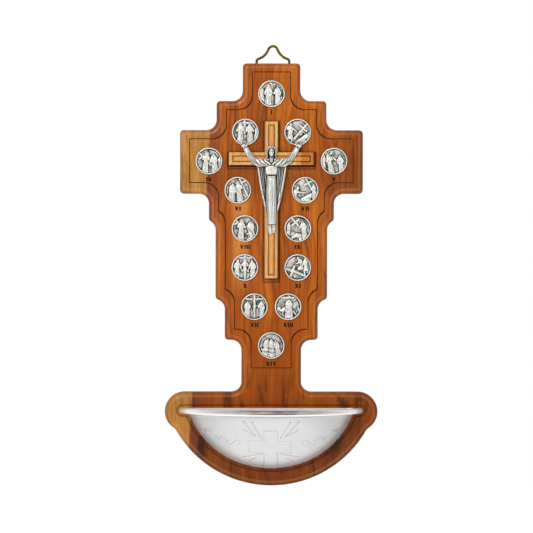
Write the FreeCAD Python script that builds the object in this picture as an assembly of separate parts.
import FreeCAD, Part
import math
import os

# Holy water stoup: a stepped olive-wood wall cross that carries fourteen station medals,
# a risen figure on a pale wooden cross, a pressed metal basin and a wire hanging bail.
#
# Frame: X to the viewer's right, Y into the wall, Z up. The origin lies on the flat back
# face, on the centre line of the cross arms. Lengths are in millimetres, angles in degrees.
# Outlines are drawn in the XZ plane at y = 0 and moved or extruded along Y.

# ---- backboard ----
board_thick = 12.0
tab_half = 16.7            # half widths of the steps, from the top down
shoulder_half = 31.9
arm_half = 53.1
chest_half = 36.3
waist_half = 32.4
hip_half = 27.0
neck_half = 17.3
tab_top = 57.3             # heights where the steps begin or end
shoulder_top = 35.4
arm_top = 18.5
arm_foot = -18.3
chest_foot = -33.6
waist_foot = -79.6
hip_foot = -103.3
skirt_radius = 63.6        # round lower edge of the foot
skirt_z = -124.3
ear_radius = 11.3          # round ears of the foot, beside the basin's lip
ear_z = -144.9
ear_stand = 2.24           # how far the ears stand out beyond the skirt's circle
cove_radius = 6.0          # inner corners of the outline
corner_radius = 2.2        # outer corners of the outline
edge_round = 3.2           # rounded front edge

# ---- burned lines on the board's front ----
line_inset = 5.7
line_cove = 8.3
line_width = 0.5
line_depth = 0.3
line_foot = -120.05        # where the border line closes across the neck
line_rise = 0.55           # the border line sits a little above the middle of the board
lip_line_gap = 1.6         # border line round the basin's lip
bowl_line_gap = 2.0        # border line round the bowl
cross_line_gap = 1.0       # guide line round the pale cross
cross_line_drop = 0.95     # the cross is glued a little above the middle of its guide line

# ---- pale cross ----
cross_thick = 3.0
stem_half = 3.85
stem_top = 23.35
stem_foot = -67.8
bar_half = 24.6
bar_z = 1.65
bar_rise = 3.8             # half the bar's height
engraving_inset = 2.2
engraving_width = 0.7
engraving_depth = 0.35
plate_chamfer = 0.3

# ---- station medals ----
medal_radius = 7.72
medal_thick = 2.0
medal_seat_depth = 0.4
medal_seat_gap = 0.1       # radial gap round a medal in its seat
medal_rim = 0.75
medal_field_depth = 0.45
medal_edge = 0.25
# centres in station order: x as a half spacing, left of centre first
medal_rows = [
    ("centre", 0.0, 39.4),
    ("pair", 15.15, 17.25),
    ("pair", 36.25, 0.45),
    ("pair", 19.5, -16.45),
    ("pair", 15.3, -38.7),
    ("pair", 15.3, -61.25),
    ("pair", 9.75, -84.0),
    ("centre", 0.0, -106.5),
]

# ---- risen figure ----
# robe from the neck down: height, half width, how far it stands off, depth of its folds
robe_sections = [
    (1.6, 1.6, 2.2, 0.02),
    (0.4, 3.0, 2.9, 0.03),
    (-1.4, 3.7, 3.6, 0.04),
    (-4.2, 3.4, 3.9, 0.06),
    (-6.4, 2.9, 3.5, 0.10),
    (-7.9, 2.6, 3.1, 0.12),
    (-9.6, 2.8, 3.4, 0.14),
    (-14.0, 3.05, 3.8, 0.15),
    (-20.0, 3.2, 4.0, 0.15),
    (-28.0, 2.95, 3.8, 0.15),
    (-35.9, 2.3, 3.4, 0.15),
]
robe_folds = 6
foot_half = 0.95           # half width of one foot
foot_depth = 2.3
foot_spread = 0.75         # from the centre line to the middle of a foot
toe_z = -42.5
chin_z = 2.7
head_top = 9.3
hair_half = 2.65
face_half = 1.9
neck_radius = 1.2
# centre line of the raised arm: outward, up, radius
arm_sections = [
    (1.4, -0.6, 1.6),
    (3.6, -1.0, 1.95),
    (6.2, -1.1, 1.95),
    (8.6, 0.1, 1.95),
    (10.6, 2.3, 1.85),
    (12.3, 4.7, 1.7),
    (13.8, 7.0, 1.35),
    (14.7, 8.4, 1.0),
    (15.6, 9.8, 0.95),
    (16.4, 11.3, 0.5),
]
arm_stand = 2.0            # from the pale cross to the arm's centre line
# outline of the cloak below the sleeve: half width, height
cloak_sections = [
    (8.2, -3.3),
    (6.6, -16.6),
    (4.2, -25.0),
    (3.0, -29.5),
]
cloak_thick = 1.4
cloak_hem = 0.7            # raised outer hem of the cloak
cloak_hem_rise = 0.6
cloak_folds = 3            # upright furrows on each side
cloak_furrow = 0.5
peg_radius = 1.0
peg_gap = 0.05             # radial gap round a peg
peg_bite = 4.0             # how deep a peg goes into the board
peg_heights = (-3.0, -24.0)

# ---- basin ----
lip_margin = 8.7           # wood between the lip's end and the ear's side
basin_depth = 40.0         # how far the lip stands off the board
lip_top = -142.7
lip_thick = 3.2
lip_reach = 5.6            # how far the lip stands out from the bowl's side
bowl_margin = 10.3         # wood below the bowl
bowl_sag = 5.9             # bulge of the bowl's side
basin_wall = 0.9
basin_back = 1.0
lip_inner_round = 1.6
lip_softness = 0.46        # rounding of the lip's edge, as a share of its thickness
bowl_edge_steps = 8        # points on each side of the bowl's outline

# ---- basin screws ----
basin_screw_share = 0.488  # place of a screw between the centre line and the lip's end
basin_screw_drop = 8.3     # from the lip's top down to the screws
basin_screw_head = 2.6
basin_screw_shank = 1.4
basin_screw_bite = 8.0
screw_gap = 0.05           # radial gap round a screw's shank
head_height = 1.5
slot_width = 0.6
slot_depth = 0.5

# ---- hanger ----
hanger_x = 0.8             # the hanger sits a little right of centre
wire_radius = 0.8
bail_half = 9.5            # half width of the bail's shoulders, to the wire's centre line
bail_top = 67.8
crown_radius = 2.8
shoulder_radius = 1.6
shoulder_z = 58.9
hollow_radius = 9.0        # inward curve between shoulder and crown
pivot_z = 48.0
foot_radius = 2.0          # lower corners of the bail
barrel_gap = 0.1           # radial gap round the wire in the strap's barrel
strap_thick = 0.75
strap_half = 4.0
strap_length = 21.0
seam_width = 0.3
pocket_depth = 3.5
pocket_gap = 1.2           # gap between the bail and the sides of its pocket
pocket_foot_gap = 2.0      # gap below the strap's end
pocket_corner = 3.0
strap_screw_drops = (8.0, 15.5)   # screw places below the pivot
strap_screw_head = 2.0
strap_screw_height = 0.9
strap_screw_shank = 0.9
strap_screw_bite = 5.5

# ---- derived places ----
ear_x = math.sqrt((skirt_radius - ear_radius + ear_stand) ** 2 - (ear_z - skirt_z) ** 2)
lip_half = ear_x + ear_radius - lip_margin      # half width over the lip, at the board
bowl_foot = skirt_z - skirt_radius + bowl_margin
basin_screw_x = basin_screw_share * lip_half
basin_screw_z = lip_top - basin_screw_drop
board_front = -board_thick
cross_front = board_front - cross_thick
medal_front = board_front + medal_seat_depth - medal_thick
barrel_radius = wire_radius + barrel_gap + strap_thick
pivot_y = -pocket_depth + barrel_radius
BIG = 400.0


def vec(x, y, z):
    return FreeCAD.Vector(x, y, z)


ALONG_X = vec(1, 0, 0)
INTO_WALL = vec(0, 1, 0)
UP = vec(0, 0, 1)


class Outline:
    """A path in the XZ plane, drawn as straight runs and arcs."""

    def __init__(self, x, z):
        self.at = vec(x, 0, z)
        self.edges = []
        self.corners = []

    def line(self, x, z):
        goal = vec(x, 0, z)
        if (goal - self.at).Length > 1e-6:
            self.edges.append(Part.LineSegment(self.at, goal).toShape())
            self.at = goal
        return self

    def corner(self, x, z):
        self.line(x, z)
        self.corners.append((x, z))
        return self

    def arc(self, centre, radius, start, end):
        def point(angle):
            turn = math.radians(angle)
            return vec(centre[0] + radius * math.cos(turn), 0, centre[1] + radius * math.sin(turn))

        self.line(point(start).x, point(start).z)
        bow = Part.Arc(point(start), point((start + end) / 2), point(end))
        self.edges.append(bow.toShape())
        self.at = point(end)
        return self

    def mirrored(self):
        """Closed wire of the path and its mirror image about the centre line."""
        twins = [edge.mirror(vec(0, 0, 0), ALONG_X) for edge in self.edges]
        return Part.Wire(Part.__sortEdges__(self.edges + twins))


def circles_meet(first, radius_1, second, radius_2, side):
    """The point where two circles meet; side picks left or right of first to second."""
    dx = second[0] - first[0]
    dz = second[1] - first[1]
    apart = math.hypot(dx, dz)
    along = (radius_1 ** 2 - radius_2 ** 2 + apart ** 2) / (2 * apart)
    off = math.sqrt(radius_1 ** 2 - along ** 2)
    return (
        first[0] + (along * dx - side * off * dz) / apart,
        first[1] + (along * dz + side * off * dx) / apart,
    )


def bearing(start, end):
    return math.degrees(math.atan2(end[1] - start[1], end[0] - start[0]))


def slab(wire, back, front):
    """Solid between two depths, from a closed wire at y = 0."""
    face = Part.Face(wire)
    face.translate(vec(0, back, 0))
    return face.extrude(vec(0, front - back, 0))


def rod(x, z, radius, back, front):
    """Round bar along Y."""
    length = back - front
    return Part.makeCylinder(radius, length, vec(x, front, z), INTO_WALL)


def block(x, y, z):
    """Box between pairs of low and high coordinates."""
    return Part.makeBox(x[1] - x[0], y[1] - y[0], z[1] - z[0], vec(x[0], y[0], z[0]))


def turned(points, centre_x, centre_y):
    """Solid of revolution about a vertical axis, from (radius, z) points and arcs."""
    face = Part.Face(Part.Wire(points))
    face.translate(vec(centre_x, centre_y, 0))
    return face.revolve(vec(centre_x, centre_y, 0), UP, 360)


# ---- board outline ----

def step_down(path, half, inset, cove, height):
    """Step in to a narrower width: a cove, cut short where the step is small."""
    wide = path.at.x
    narrow = half - inset
    centre = (narrow + cove, height + inset - cove)
    if wide - narrow >= cove:
        path.line(centre[0], height + inset)
        return path.arc(centre, cove, 90, 180)
    start = math.degrees(math.acos((wide - centre[0]) / cove))
    path.corner(wide, centre[1] + cove * math.sin(math.radians(start)))
    return path.arc(centre, cove, start, 180)


def step_up(path, half, inset, cove, height):
    """Step out to a wider part below: down the side, a cove, then along its top."""
    level = height - inset
    path.line(path.at.x, level + cove)
    path.arc((path.at.x + cove, level + cove), cove, 180, 270)
    return path.corner(half - inset, level)


def stepped_sides(inset, cove):
    """Right side of the stepped cross, from the top centre to the neck."""
    path = Outline(0, tab_top - inset)
    path.corner(tab_half - inset, tab_top - inset)
    step_up(path, shoulder_half, inset, cove, shoulder_top)
    step_up(path, arm_half, inset, cove, arm_top)
    path.corner(arm_half - inset, arm_foot + inset)
    step_down(path, chest_half, inset, cove, arm_foot)
    step_down(path, waist_half, inset, cove, chest_foot)
    step_down(path, hip_half, inset, cove, waist_foot)
    path.corner(hip_half - inset, hip_foot + inset)
    step_down(path, neck_half, inset, cove, hip_foot)
    return path


def board_outline():
    path = stepped_sides(0.0, cove_radius)
    ear_top = ear_z + ear_radius
    path.line(neck_half, ear_top + cove_radius)
    path.arc((neck_half + cove_radius, ear_top + cove_radius), cove_radius, 180, 270)
    ear = (ear_x, ear_z)
    skirt = (0.0, skirt_z)
    dip = circles_meet(ear, ear_radius + cove_radius, skirt, skirt_radius + cove_radius, 1)
    path.arc(ear, ear_radius, 90, bearing(ear, dip))
    path.arc(dip, cove_radius, bearing(dip, ear) + 360, bearing(dip, skirt) + 360)
    path.arc(skirt, skirt_radius, bearing(skirt, dip), -90)
    return path


def border_line(inset):
    """Closed path of the burned border, which follows the stepped sides."""
    path = stepped_sides(inset, line_cove - (inset - line_inset))
    path.line(path.at.x, line_foot + inset - line_inset)
    path.line(0, line_foot + inset - line_inset)
    return path.mirrored()


def groove(outer, inner, face, depth):
    """Ring between two closed wires, cut into a face that looks along -Y."""
    ring = slab(outer, face + depth, face - 1.0)
    return ring.cut(slab(inner, face + depth + 1.0, face - 2.0))


def board_line(half_line):
    """Burned border, cut into the board."""
    outer = border_line(line_inset - half_line)
    inner = border_line(line_inset + half_line)
    ring = groove(outer, inner, board_front, line_depth)
    ring.translate(vec(0, 0, line_rise))
    return ring


# ---- pale cross ----

def cross_path(grow):
    """Latin cross outline; grow moves every side outward."""
    path = Outline(0, stem_top + grow)
    path.line(stem_half + grow, stem_top + grow)
    path.line(stem_half + grow, bar_z + bar_rise + grow)
    path.line(bar_half + grow, bar_z + bar_rise + grow)
    path.line(bar_half + grow, bar_z - bar_rise - grow)
    path.line(stem_half + grow, bar_z - bar_rise - grow)
    path.line(stem_half + grow, stem_foot - grow)
    path.line(0, stem_foot - grow)
    return path.mirrored()


def cross_line(half_line):
    """Guide line round the cross, cut into the board."""
    outer = cross_path(cross_line_gap + half_line)
    inner = cross_path(cross_line_gap - half_line)
    ring = groove(outer, inner, board_front, line_depth)
    ring.translate(vec(0, 0, -cross_line_drop))
    return ring


def peg_holes(solid, front, back):
    for height in peg_heights:
        solid = solid.cut(rod(0, height, peg_radius + peg_gap, back, front))
    return solid


def make_cross():
    plate = slab(cross_path(0.0), board_front, cross_front)
    rim = [e for e in plate.Edges if all(abs(v.Y - cross_front) < 1e-6 for v in e.Vertexes)]
    plate = plate.makeChamfer(plate_chamfer, rim)
    half_line = engraving_width / 2
    outer = cross_path(half_line - engraving_inset)
    inner = cross_path(-half_line - engraving_inset)
    plate = plate.cut(groove(outer, inner, cross_front, engraving_depth))
    return peg_holes(plate, cross_front - 1.0, board_front + 1.0)


# ---- medals ----

def medal_centres():
    centres = []
    for kind, half, height in medal_rows:
        if kind == "pair":
            centres.append((-half, height))
        centres.append((half, height))
    return centres


def make_medal(x, z):
    """Struck disc with a raised rim round a sunk field and softened edges."""
    back = board_front + medal_seat_depth
    disc = rod(x, z, medal_radius, back, medal_front)
    rims = [e for e in disc.Edges if all(abs(v.Y - medal_front) < 1e-6 for v in e.Vertexes)]
    disc = disc.makeChamfer(medal_edge, rims)
    floor = medal_front + medal_field_depth
    field = rod(x, z, medal_radius - medal_rim, floor, medal_front - 1.0)
    return disc.cut(field)


# ---- risen figure ----

def bow(x, z, half, depth, fold_depth=0.0, folds=1):
    """Closed wire at one height: half an oval of rounded folds over the flat back."""

    def on_oval(share, sink):
        turn = math.pi * share
        reach = 1.0 - sink
        across = -half * reach * math.cos(turn)
        return vec(x + across, cross_front - depth * reach * math.sin(turn), z)

    count = max(folds, 2)
    edges = []
    for fold in range(count):
        sinks = [0.0 if i in (0, count) else fold_depth for i in (fold, fold + 1)]
        start = on_oval(fold / count, sinks[0])
        end = on_oval((fold + 1) / count, sinks[1])
        edges.append(Part.Arc(start, on_oval((fold + 0.5) / count, 0.0), end).toShape())
    base = Part.LineSegment(vec(x + half, cross_front, z), vec(x - half, cross_front, z))
    return Part.Wire(edges + [base.toShape()])


def stack(wires):
    """Solid with straight runs from each section to the next."""
    return Part.makeLoft(wires, True, True)


def make_robe():
    """Long robe: shoulders, belted waist and a fuller folded skirt."""
    return stack([bow(0, *section, folds=robe_folds) for section in robe_sections])


def make_feet():
    """Two feet side by side under the hem, pointing down."""
    ankle = robe_sections[-1][0] + 1.5
    feet = []
    for side in (-1, 1):
        middle = side * foot_spread
        levels = [
            (ankle, foot_half, foot_depth),
            ((ankle + toe_z) / 2, foot_half, foot_depth * 0.9),
            (toe_z + 0.8, foot_half * 0.85, foot_depth * 0.75),
            (toe_z, foot_half * 0.4, foot_depth * 0.4),
        ]
        feet.append(stack([bow(middle, *level) for level in levels]))
    return feet


def make_arm(side):
    """Raised arm: sleeve from the shoulder out to the elbow, then up to the open hand."""
    stand = cross_front - arm_stand
    route = [(vec(side * x, stand, z), radius) for x, z, radius in arm_sections]
    rings = []
    for i, (point, radius) in enumerate(route):
        before = route[max(i - 1, 0)][0]
        after = route[min(i + 1, len(route) - 1)][0]
        rings.append(Part.Wire([Part.makeCircle(radius, point, after - before)]))
    return stack(rings)


def egg(y, middle, half, rise):
    """Oval ball on the centre line, by turning half an ellipse about the upright axis."""
    top = vec(0, 0, middle + rise)
    oval = Part.Ellipse(top, vec(half, 0, middle), vec(0, 0, middle))
    side = Part.Arc(oval, 0, math.pi).toShape()
    axis = Part.LineSegment(vec(0, 0, middle - rise), top).toShape()
    return turned([side, axis], 0, y)


def make_head():
    """Veiled hair behind an oval face, on a short neck."""
    middle = (head_top + chin_z) / 2
    rise = (head_top - chin_z) / 2
    shoulders = robe_sections[2]
    stand = cross_front - shoulders[2] / 2
    hair = egg(stand, middle, hair_half, rise)
    face = egg(stand - 1.3, middle - 0.3, face_half, rise * 0.85)
    neck = Part.makeCylinder(neck_radius, middle - shoulders[0], vec(0, stand, shoulders[0]), UP)
    return [hair, face, neck]


def cloak_outline(inset):
    path = Outline(0, cloak_sections[0][1] + 2.0)
    path.line(cloak_sections[0][0] - inset, cloak_sections[0][1] + 2.0)
    for half, height in cloak_sections:
        path.line(half - inset, height)
    path.line(0, cloak_sections[-1][1])
    return path.mirrored()


def furrow(top, foot, surface):
    """Upright V-shaped furrow between two points of a face that looks along -Y."""
    ends = []
    for x, z in (top, foot):
        tip = vec(x, surface + cloak_furrow, z)
        left = vec(x - cloak_furrow, surface - 0.1, z)
        right = vec(x + cloak_furrow, surface - 0.1, z)
        ends.append(Part.makePolygon([tip, left, right, tip]))
    return stack(ends)


def make_cloak():
    """Open cloak behind the robe: it hangs from both sleeves, with a raised outer hem."""
    surface = cross_front - cloak_thick
    raised = surface - cloak_hem_rise
    cloak = slab(cloak_outline(0.0), cross_front, raised)
    cloak = cloak.cut(slab(cloak_outline(cloak_hem), surface, raised - 1.0))
    wide, top = cloak_sections[0]
    narrow, foot = cloak_sections[2]
    for number in range(cloak_folds):
        share = (number + 1.5) / (cloak_folds + 1.5)
        for side in (-1, 1):
            start = (side * (wide - cloak_hem) * share, top)
            end = (side * (narrow - cloak_hem) * share, foot)
            cloak = cloak.cut(furrow(start, end, surface))
    return cloak


def make_figure():
    """One casting: robe, feet, arms, cloak and head, flat at the back, with two pegs."""
    limbs = make_feet() + [make_arm(1), make_arm(-1), make_cloak()] + make_head()
    figure = make_robe().fuse(limbs)
    figure = figure.cut(block((-BIG, BIG), (cross_front, BIG), (-BIG, BIG)))
    root = cross_front - cloak_thick / 2
    pegs = [rod(0, h, peg_radius, board_front + peg_bite, root) for h in peg_heights]
    return figure.fuse(pegs).removeSplitter()


# ---- basin ----

# The bowl is part of a round dish, cut off flat by the board.
cut_off = (lip_half ** 2 - basin_depth ** 2) / (2 * basin_depth)
dish_y = board_front + cut_off
lip_radius = basin_depth + cut_off


def dish_radius(half):
    """Radius of the dish where the board cuts it at a half width."""
    return math.hypot(half, cut_off)


def bulge(start, end, sag):
    """Arc from start to end, standing out by sag on its lower right side."""
    chord = vec(end[0] - start[0], 0, end[1] - start[1])
    out = vec(-chord.z, 0, chord.x)
    out.normalize()
    middle = vec((start[0] + end[0]) / 2, 0, (start[1] + end[1]) / 2) + out * sag
    return Part.Arc(vec(start[0], 0, start[1]), middle, vec(end[0], 0, end[1])).toShape()


def edge(start, end):
    return Part.LineSegment(vec(start[0], 0, start[1]), vec(end[0], 0, end[1])).toShape()


def quarter(centre, radius, start):
    """Quarter arc that turns left from a start angle."""
    points = []
    for angle in (start, start + 45, start + 90):
        turn = math.radians(angle)
        x = centre[0] + radius * math.cos(turn)
        points.append(vec(x, 0, centre[1] + radius * math.sin(turn)))
    return Part.Arc(*points).toShape()


def basin_body():
    """Outer form of the basin, solid: a rounded lip over a bulging side."""
    side = dish_radius(lip_half - lip_reach)
    underside = lip_top - lip_thick
    soft = lip_thick * lip_softness
    lip_end = lip_radius - soft
    edges = [
        edge((0, lip_top), (lip_end, lip_top)),
        quarter((lip_end, lip_top - soft), soft, 0),
        edge((lip_radius, lip_top - soft), (lip_radius, underside + soft)),
        quarter((lip_end, underside + soft), soft, -90),
        edge((lip_end, underside), (side, underside)),
        bulge((side, underside), (cut_off, bowl_foot), bowl_sag),
        edge((cut_off, bowl_foot), (0, bowl_foot)),
        edge((0, bowl_foot), (0, lip_top)),
    ]
    return turned(edges, 0, dish_y)


def basin_hollow():
    """Inside of the basin: the side moved in by the wall, flared at the lip."""
    side = dish_radius(lip_half - lip_reach - basin_wall)
    underside = lip_top - lip_thick
    above = lip_top + 1.0
    flare = side + lip_inner_round
    foot = bowl_foot + basin_wall
    edges = [
        edge((0, above), (flare, above)),
        edge((flare, above), (flare, lip_top)),
        quarter((flare, lip_top - lip_inner_round), lip_inner_round, 90),
        edge((side, lip_top - lip_inner_round), (side, underside)),
        bulge((side, underside), (cut_off, foot), bowl_sag),
        edge((cut_off, foot), (0, foot)),
        edge((0, foot), (0, above)),
    ]
    return in_front(turned(edges, 0, dish_y), board_front - basin_back)


def in_front(solid, plane):
    """The part of a solid in front of a plane parallel to the board."""
    return solid.common(block((-BIG, BIG), (-BIG, plane), (-BIG, BIG)))


def make_basin():
    basin = in_front(basin_body(), board_front).cut(basin_hollow())
    for side in (-1, 1):
        x = side * basin_screw_x
        radius = basin_screw_shank + screw_gap
        basin = basin.cut(rod(x, basin_screw_z, radius, board_front + 1.0, board_front - 3.0))
    return basin


# ---- screws ----

def slotted_screw(x, z, seat, head, height, shank, bite, into=1):
    """Round-head screw along Y; seat is the plane under its head, into the way it is driven."""
    sag = height
    ball = (head ** 2 + sag ** 2) / (2 * sag)
    centre = seat + into * (ball - sag)
    dome = Part.makeSphere(ball, vec(x, centre, z))
    low = min(seat, seat - into * height)
    keep = block((x - head, x + head), (low, low + height), (z - head, z + head))
    screw = dome.common(keep)
    tip = seat + into * bite
    screw = screw.fuse(rod(x, z, shank, max(seat, tip), min(seat, tip))).removeSplitter()
    outer = seat - into * height
    slot_end = outer + into * slot_depth
    slot = block(
        (x - head, x + head),
        (min(outer - into * 1.0, slot_end), max(outer - into * 1.0, slot_end)),
        (z - slot_width / 2, z + slot_width / 2),
    )
    return screw.cut(slot)


def make_basin_screws():
    seat = board_front - basin_back
    bite = basin_screw_bite + basin_back
    screws = []
    for side in (-1, 1):
        x = side * basin_screw_x
        screws.append(
            slotted_screw(
                x, basin_screw_z, seat, basin_screw_head, head_height, basin_screw_shank, bite
            )
        )
    return Part.makeCompound(screws)


def make_strap_screws():
    seat = -pocket_depth + strap_thick
    bite = strap_screw_bite + strap_thick
    screws = []
    for drop in strap_screw_drops:
        screws.append(
            slotted_screw(
                hanger_x,
                pivot_z - drop,
                seat,
                strap_screw_head,
                strap_screw_height,
                strap_screw_shank,
                bite,
                into=-1,
            )
        )
    return Part.makeCompound(screws)


# ---- hanger ----

def bail_path():
    """Centre line of the bail: narrow crown, hollow slopes, round shoulders, straight foot."""
    crown = (0.0, bail_top - crown_radius)
    shoulder = (bail_half - shoulder_radius, shoulder_z)
    hollow = circles_meet(
        crown, crown_radius + hollow_radius, shoulder, shoulder_radius + hollow_radius, 1
    )
    path = Outline(0, bail_top)
    path.arc(crown, crown_radius, 90, bearing(crown, hollow))
    path.arc(hollow, hollow_radius, bearing(hollow, crown), bearing(hollow, shoulder))
    path.arc(shoulder, shoulder_radius, bearing(shoulder, hollow), 0)
    foot = (bail_half - foot_radius, pivot_z + foot_radius)
    path.line(bail_half, foot[1])
    path.arc(foot, foot_radius, 0, -90)
    path.line(0, pivot_z)
    return path


def make_bail():
    """Round wire bent to a closed ring; its straight foot turns in the strap's barrel."""
    path = bail_path()
    half = Part.Wire(Part.__sortEdges__(path.edges))
    section = Part.Wire([Part.makeCircle(wire_radius, vec(0, 0, bail_top), ALONG_X)])
    right = half.makePipeShell([section], True, True)
    left = right.mirror(vec(0, 0, 0), ALONG_X)
    bail = right.fuse(left).removeSplitter()
    bail.translate(vec(hanger_x, pivot_y, 0))
    return bail


def make_strap():
    """Sheet strap whose upper end is rolled into a barrel round the bail's foot."""
    start = vec(hanger_x - strap_half, pivot_y, pivot_z)
    barrel = Part.makeCylinder(barrel_radius, 2 * strap_half, start, ALONG_X)
    bore_start = start - vec(1.0, 0, 0)
    bore = Part.makeCylinder(
        wire_radius + barrel_gap, 2 * strap_half + 2.0, bore_start, ALONG_X
    )
    tail = block(
        (hanger_x - strap_half, hanger_x + strap_half),
        (-pocket_depth, -pocket_depth + strap_thick),
        (pivot_z - strap_length, pivot_z),
    )
    strap = barrel.fuse(tail).cut(bore).removeSplitter()
    seam = block(
        (hanger_x - BIG, hanger_x + BIG),
        (-pocket_depth + strap_thick, -pocket_depth + strap_thick + seam_width),
        (pivot_z - barrel_radius - 1.0, pivot_z),
    )
    strap = strap.cut(seam)
    for drop in strap_screw_drops:
        radius = strap_screw_shank + screw_gap
        strap = strap.cut(rod(hanger_x, pivot_z - drop, radius, 0.0, board_front))
    return strap


def hanger_pocket():
    """Pocket in the back, open at the top edge, where the bail folds down round the strap."""
    half = bail_half + wire_radius + pocket_gap
    foot = pivot_z - strap_length - pocket_foot_gap
    pocket = block(
        (hanger_x - half, hanger_x + half), (-pocket_depth, 1.0), (foot, tab_top + 1.0)
    )
    lower = [
        e
        for e in pocket.Edges
        if all(abs(v.Z - foot) < 1e-6 for v in e.Vertexes)
        and abs(e.Vertexes[0].X - e.Vertexes[-1].X) < 1e-6
    ]
    return pocket.makeFillet(pocket_corner, lower)


# ---- backboard ----

def is_outer_corner(item, corners):
    first = item.Vertexes[0].Point
    last = item.Vertexes[-1].Point
    if abs(first.x - last.x) > 1e-6 or abs(first.z - last.z) > 1e-6:
        return False
    return any(abs(abs(first.x) - x) < 1e-4 and abs(first.z - z) < 1e-4 for x, z in corners)


def make_backboard():
    outline = board_outline()
    board = slab(outline.mirrored(), 0.0, board_front)
    corners = [e for e in board.Edges if is_outer_corner(e, outline.corners)]
    board = board.makeFillet(corner_radius, corners)
    rim = [e for e in board.Edges if all(abs(v.Y - board_front) < 1e-6 for v in e.Vertexes)]
    board = board.makeFillet(edge_round, rim)
    half_line = line_width / 2
    cuts = [
        board_line(half_line),
        cross_line(half_line),
        basin_line(),
        hanger_pocket(),
    ]
    seat_floor = board_front + medal_seat_depth
    seat_radius = medal_radius + medal_seat_gap
    for x, z in medal_centres():
        cuts.append(rod(x, z, seat_radius, seat_floor, board_front - 1.0))
    for side in (-1, 1):
        depth = board_front + basin_screw_bite + 0.5
        x = side * basin_screw_x
        radius = basin_screw_shank + screw_gap
        cuts.append(rod(x, basin_screw_z, radius, depth, board_front - 1.0))
    for drop in strap_screw_drops:
        depth = -pocket_depth - strap_screw_bite - 0.5
        radius = strap_screw_shank + screw_gap
        cuts.append(rod(hanger_x, pivot_z - drop, radius, 0.0, depth))
    for height in peg_heights:
        depth = board_front + peg_bite + 0.5
        cuts.append(rod(0, height, peg_radius + peg_gap, depth, board_front - 1.0))
    return board.cut(cuts)


def bowl_edge_on_board(gap):
    """Closed wire of the bowl's outline on the board, grown by a gap."""
    side = dish_radius(lip_half - lip_reach)
    profile = bulge((side, lip_top - lip_thick), (cut_off, bowl_foot), bowl_sag)
    first, last = profile.ParameterRange
    points = []
    for step in range(bowl_edge_steps + 1):
        left_over = (1 - step / bowl_edge_steps) ** 2
        place = profile.valueAt(last - (last - first) * left_over)
        run = profile.tangentAt(last - (last - first) * left_over)
        half = math.sqrt(max(place.x ** 2 - cut_off ** 2, 0.0))
        slope = vec(place.x * run.x, 0, half * run.z)
        slope.normalize()
        points.append(vec(half - gap * slope.z, 0, place.z + gap * slope.x))
    points += [vec(-p.x, 0, p.z) for p in reversed(points[:-1])]
    curve = Part.BSplineCurve()
    curve.interpolate(points)
    return Part.Wire([curve.toShape(), Part.LineSegment(points[-1], points[0]).toShape()])


def basin_shadow(grow, extra):
    """Slab inside the burned line round lip and bowl, grown by a little."""
    back = board_front + line_depth + extra
    front = board_front - 1.0 - extra
    gap = lip_line_gap + grow
    radius = lip_thick / 2 + gap
    middle = lip_top - lip_thick / 2
    lip = Outline(0, middle + radius)
    lip.arc((lip_half + gap - radius, middle), radius, 90, -90)
    lip.line(0, middle - radius)
    bowl = slab(bowl_edge_on_board(bowl_line_gap + grow), back, front)
    return slab(lip.mirrored(), back, front).fuse(bowl)


def basin_line():
    """Burned line that follows the basin's outline on the board."""
    half_line = line_width / 2
    outer = basin_shadow(half_line, 0.0)
    return outer.cut(basin_shadow(-half_line, 1.0))


def save(name, shape):
    shape.exportStep("parts/" + name + ".step")


def main():
    os.makedirs("parts", exist_ok=True)
    save("backboard", make_backboard())
    save("cross_overlay", make_cross())
    for number, (x, z) in enumerate(medal_centres(), 1):
        save("medal_%02d" % number, make_medal(x, z))
    save("risen_figure", make_figure())
    save("water_basin", make_basin())
    save("basin_screws", make_basin_screws())
    save("hanger_strap", make_strap())
    save("hanger_screws", make_strap_screws())
    save("hanger_bail", make_bail())


main()
